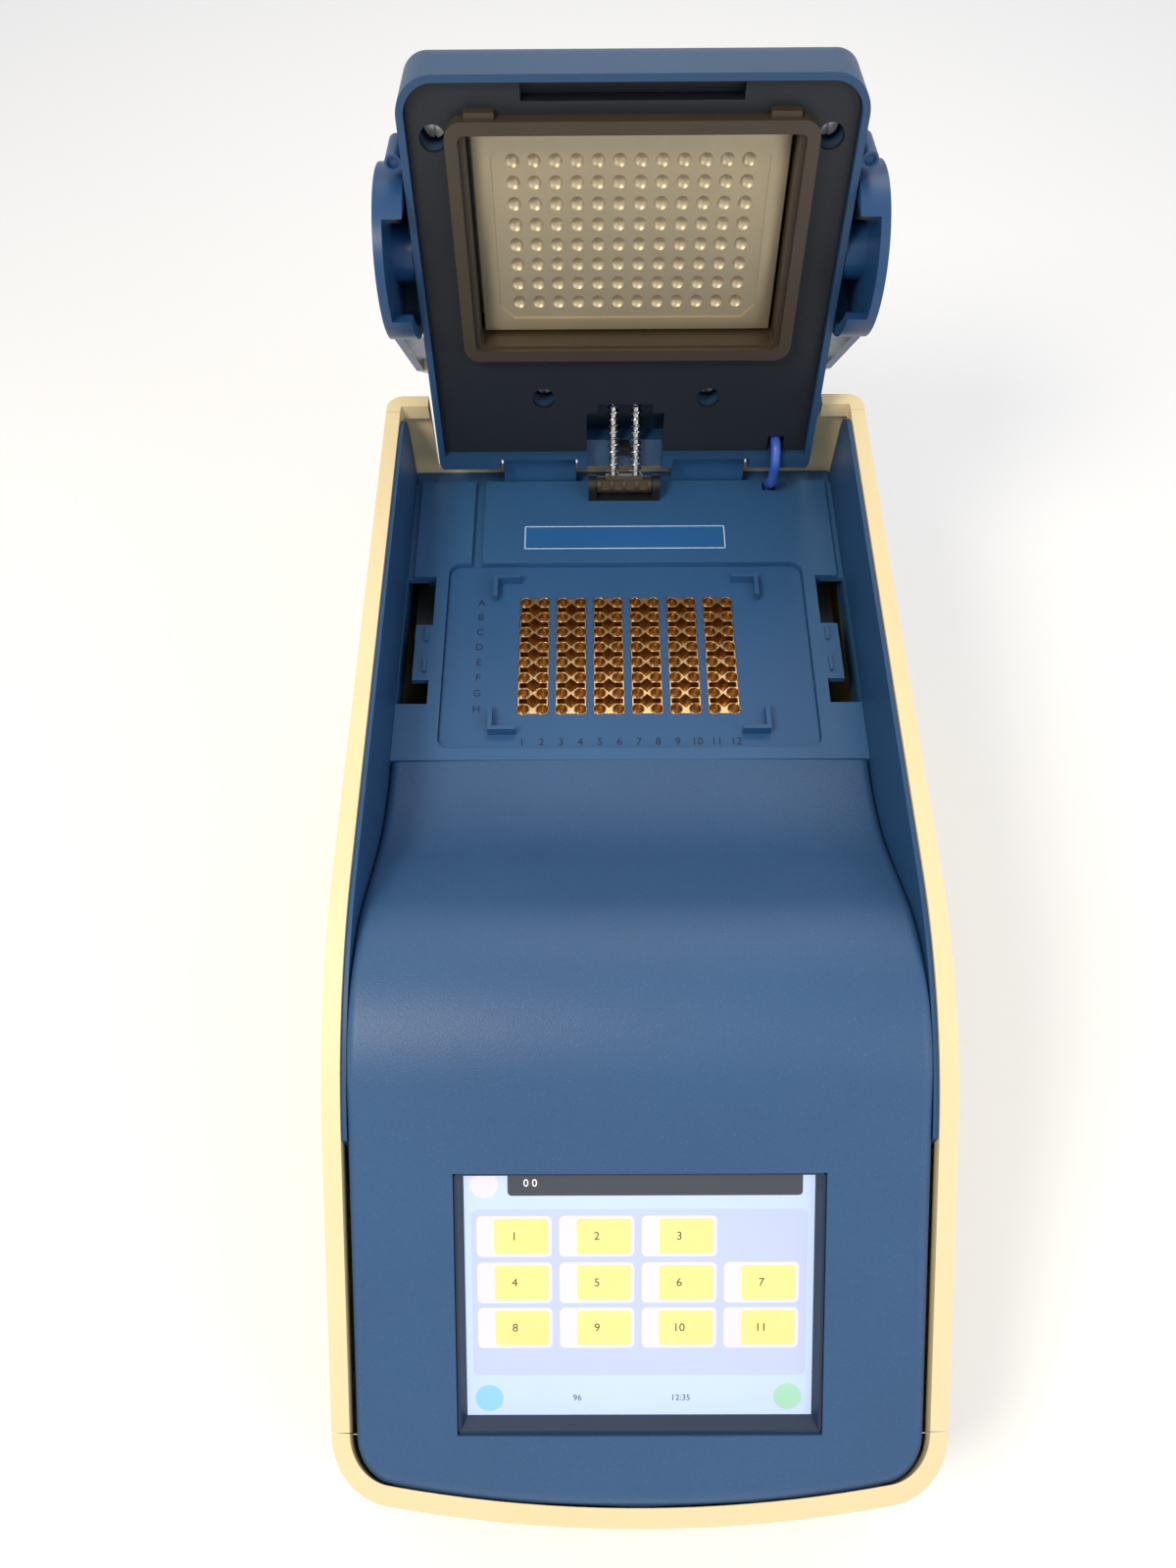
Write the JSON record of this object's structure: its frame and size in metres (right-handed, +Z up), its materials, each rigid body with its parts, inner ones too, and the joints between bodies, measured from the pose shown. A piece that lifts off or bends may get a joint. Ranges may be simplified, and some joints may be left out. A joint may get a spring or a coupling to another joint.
{
  "type": "thermal cycler",
  "caption": "Bench thermal cycler with a well block under a hinged heated cover, a two-arm locking lever and a touch screen on a sloping front.",
  "frame": {"origin": "on the bench, under the middle of the body's outline, with the body 237 mm wide and 485 mm deep", "axes": "+X to the right as the user faces the screen, +Y to the back, +Z up"},
  "size_m": [0.237, 0.5506, 0.3934],
  "materials": {
    "cream_shell": "fine satin texture",
    "blue_shell": "satin with a fine fleck",
    "cream_lever": "satin",
    "black_plastic": "matt",
    "dark_skirt": "matt",
    "screen_glass": "gloss",
    "board_plastic": "matt",
    "block_alloy": "machined satin",
    "cover_sheet": "satin",
    "label_vinyl": "matt",
    "sheet_steel": "zinc plated",
    "bright_steel": "bright",
    "zinc_cradle": "cast and passivated",
    "knob_plastic": "satin",
    "foot_rubber": "matt"
  },
  "bodies": {
    "base": {"front_bumper": "cream_shell", "left_side_panel": "cream_shell", "right_side_panel": "cream_shell", "rear_panel": "cream_shell", "hood": "blue_shell", "deck": "blue_shell", "left_liner": "blue_shell", "right_liner": "blue_shell", "screen_bezel": "black_plastic", "left_fan_frame": "black_plastic", "right_fan_frame": "black_plastic", "power_inlet": "black_plastic", "strut_bracket": "black_plastic", "cover_cable": "dark_skirt", "touch_glass": "screen_glass", "main_board": "board_plastic", "display_module": "board_plastic", "sample_block_1": "block_alloy", "sample_block_2": "block_alloy", "sample_block_3": "block_alloy", "sample_block_4": "block_alloy", "sample_block_5": "block_alloy", "sample_block_6": "block_alloy", "heat_sink": "block_alloy", "block_cover": "cover_sheet", "thermoelectric_modules": "cover_sheet", "label_plate": "label_vinyl", "side_brackets": "sheet_steel", "power_supply": "sheet_steel", "base_tray": "sheet_steel", "display_stand": "sheet_steel", "network_port": "sheet_steel", "usb_port": "sheet_steel", "rubber_feet": "foot_rubber"},
    "lid": {"lid_shell": "blue_shell", "lid_panel": "black_plastic", "cover_skirt": "dark_skirt", "plate_carrier": "block_alloy", "plate_springs": "bright_steel", "cover_screws": "bright_steel", "stop_knobs": "knob_plastic", "stop_block": "black_plastic", "hinge_pins": "bright_steel", "lever_pins": "bright_steel", "strut_yoke": "black_plastic"},
    "floating_plate": {"heated_plate": "block_alloy", "plate_heater": "dark_skirt"},
    "lever": {"left_lever_side": "blue_shell", "right_lever_side": "blue_shell", "lever_bar": "cream_lever", "lever_screws": "bright_steel"},
    "strut": {"strut_cradle": "zinc_cradle", "guide_rods": "bright_steel", "strut_springs": "bright_steel"},
    "left_fan": {"left_fan_rotor": "black_plastic"},
    "right_fan": {"right_fan_rotor": "black_plastic"},
    "rocker": {"power_rocker": "black_plastic"}
  },
  "joints": [
    {"name": "lid_hinge", "type": "hinge", "parent": "base", "child": "lid", "pos_m": [0, 0.234, 0.2077], "axis": [1, 0, 0], "range_deg": [0, 97.67], "deforming": ["cover_cable"]},
    {"name": "lever_hinge", "type": "hinge", "parent": "lid", "child": "lever", "pos_m": [0, 0.24723, 0.31489], "axis": [1, 0, 0], "range_deg": [0, 134]},
    {"name": "plate_float", "type": "slide", "parent": "lid", "child": "floating_plate", "axis": [0, 0.9911, -0.1335], "range_m": [0, 0.003], "stiffness_N_per_m": 5000, "springref_m": -0.005, "deforming": ["plate_springs"]},
    {"name": "strut_pivot", "type": "hinge", "parent": "base", "child": "strut", "pos_m": [0, 0.219, 0.1995], "axis": [1, 0, 0], "range_deg": [0, 86], "deforming": ["strut_springs"]},
    {"name": "left_fan_spin", "type": "hinge", "parent": "base", "child": "left_fan", "pos_m": [-0.045, 0.228, 0.105], "axis": [0, 1, 0], "continuous": true},
    {"name": "right_fan_spin", "type": "hinge", "parent": "base", "child": "right_fan", "pos_m": [0.045, 0.228, 0.105], "axis": [0, 1, 0], "continuous": true},
    {"name": "rocker_tilt", "type": "hinge", "parent": "base", "child": "rocker", "pos_m": [-0.045, 0.2405, 0.048], "axis": [1, 0, 0], "range_deg": [-16, 0]}
  ],
  "couplings": [
    {"joint": "strut_pivot", "follows": "lid_hinge", "ratio": 0.875}
  ]
}
